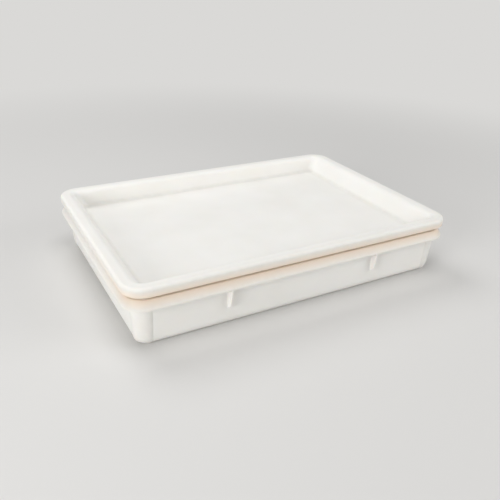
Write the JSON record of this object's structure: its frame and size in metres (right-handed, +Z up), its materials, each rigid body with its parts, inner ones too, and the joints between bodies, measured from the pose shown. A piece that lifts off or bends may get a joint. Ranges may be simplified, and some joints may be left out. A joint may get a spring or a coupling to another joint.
{
  "type": "dough box",
  "caption": "Shallow rectangular dough-proving tub with a turned-down flange, side gussets and a rounded foot, closed by a lift-off tray lid with a raised rim.",
  "frame": {"origin": "centre of the flat base, on the ground", "axes": "+X along the long side, +Y along the short side, +Z up through the lid"},
  "size_m": [0.66, 0.457, 0.1195],
  "materials": {
    "tub_plastic": "injection-moulded white polypropylene, satin",
    "lid_plastic": "injection-moulded white polypropylene, satin"
  },
  "bodies": {
    "tub": {"tub": "tub_plastic"},
    "lid": {"lid": "lid_plastic"}
  },
  "joints": [
    {"name": "lid_lift", "type": "slide", "parent": "tub", "child": "lid", "axis": [0, 0, 1], "range_m": [0, 0.15]}
  ]
}
